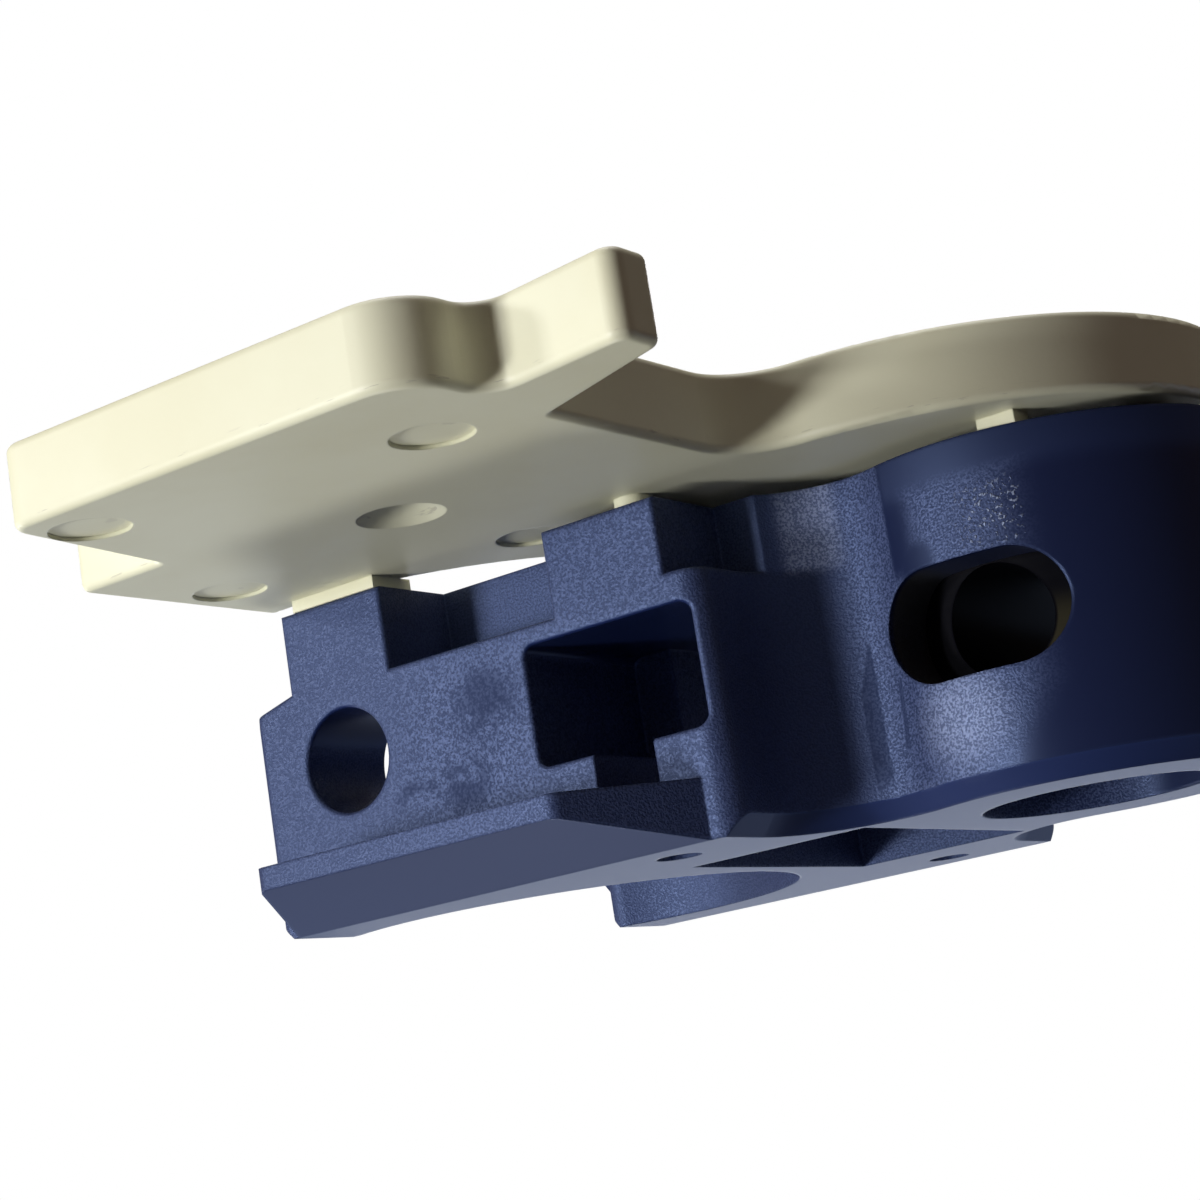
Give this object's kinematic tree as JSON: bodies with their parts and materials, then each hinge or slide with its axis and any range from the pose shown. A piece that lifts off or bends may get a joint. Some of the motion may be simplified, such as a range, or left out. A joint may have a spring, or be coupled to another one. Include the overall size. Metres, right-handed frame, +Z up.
{
  "type": "case conveyor chain link",
  "caption": "Side-flexing case conveyor chain link: blue moulded body with fork, barrel and hold-down tabs, ivory carrying plate with wings and fingers, and a swivel bush.",
  "frame": {"origin": "middle of the fork's pin hole, on the chain's middle plane", "axes": "+X along the chain from the fork to the barrel, +Y across the chain along the pin hole, +Z up to the carrying plate"},
  "size_m": [0.0749, 0.124, 0.0324],
  "materials": {
    "link_blue": "deep blue moulded acetal with a fine grain",
    "plate_ivory": "smooth ivory moulded acetal",
    "bush_grey": "dark grey moulded plastic"
  },
  "bodies": {
    "link": {"link_body": "link_blue", "top_plate": "plate_ivory"},
    "bush": {"swivel_bush": "bush_grey"}
  },
  "joints": [
    {"name": "bush_swivel", "type": "hinge", "parent": "link", "child": "bush", "pos_m": [0.05, 0, 0], "axis": [0, 0, 1], "range_deg": [-11, 11]}
  ]
}
